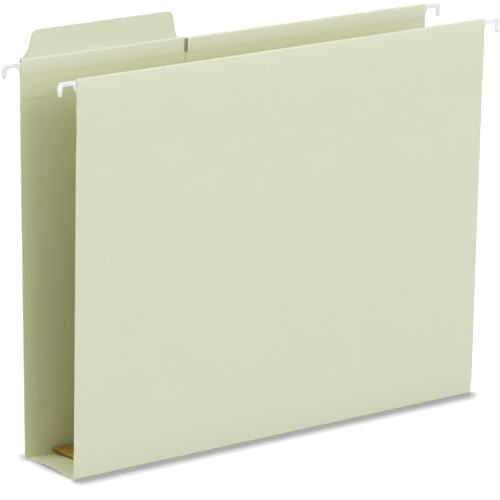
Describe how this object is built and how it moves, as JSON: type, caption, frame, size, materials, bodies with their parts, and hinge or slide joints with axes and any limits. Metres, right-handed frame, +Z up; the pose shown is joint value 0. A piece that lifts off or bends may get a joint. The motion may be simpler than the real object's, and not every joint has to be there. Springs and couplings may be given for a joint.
{
  "type": "hanging file folder",
  "caption": "Box-bottom hanging file folder of scored card with a built-in tab, hooked rods that hang on drawer rails and a loose board in its bottom.",
  "frame": {"origin": "on the plane that the folder stands on, midway between the bottom folds and between the open ends", "axes": "+X along the width, to the right seen from the front; +Y from the front panel to the rear panel; +Z up"},
  "size_m": [0.324, 0.0585, 0.2555],
  "materials": {
    "green_card": "uncoated moss-green card",
    "pressboard": "brown pressboard",
    "rod_steel": "bare cold-rolled strip",
    "hook_coating": "white dipped coating",
    "glue": "dried glue line"
  },
  "bodies": {
    "bottom": {"bottom_panel": "green_card"},
    "front": {"front_panel": "green_card", "front_hem_glue": "glue"},
    "rear": {"rear_panel": "green_card", "tab_ply": "green_card", "rear_hem_glue": "glue", "tab_hem_glue": "glue", "tab_glue": "glue"},
    "front_rod": {"front_rod": "rod_steel", "front_left_hook_coating": "hook_coating", "front_right_hook_coating": "hook_coating"},
    "rear_rod": {"rear_rod": "rod_steel", "rear_left_hook_coating": "hook_coating", "rear_right_hook_coating": "hook_coating"},
    "board": {"bottom_board": "pressboard"}
  },
  "joints": [
    {"name": "front_panel_fold", "type": "hinge", "parent": "bottom", "child": "front", "pos_m": [0, -0.02515, 0.00025], "axis": [1, 0, 0], "range_deg": [-6.2, 84]},
    {"name": "rear_panel_fold", "type": "hinge", "parent": "bottom", "child": "rear", "pos_m": [0, 0.02515, 0.00025], "axis": [-1, 0, 0], "range_deg": [-6.2, 88]},
    {"name": "front_rod_slide", "type": "slide", "parent": "front", "child": "front_rod", "axis": [1, 0, 0], "range_m": [-0.0015, 0.0015]},
    {"name": "rear_rod_slide", "type": "slide", "parent": "rear", "child": "rear_rod", "axis": [1, 0, 0], "range_m": [-0.0015, 0.0015]},
    {"name": "board_slide", "type": "slide", "parent": "bottom", "child": "board", "axis": [-1, 0, 0], "range_m": [0, 0.285]}
  ]
}
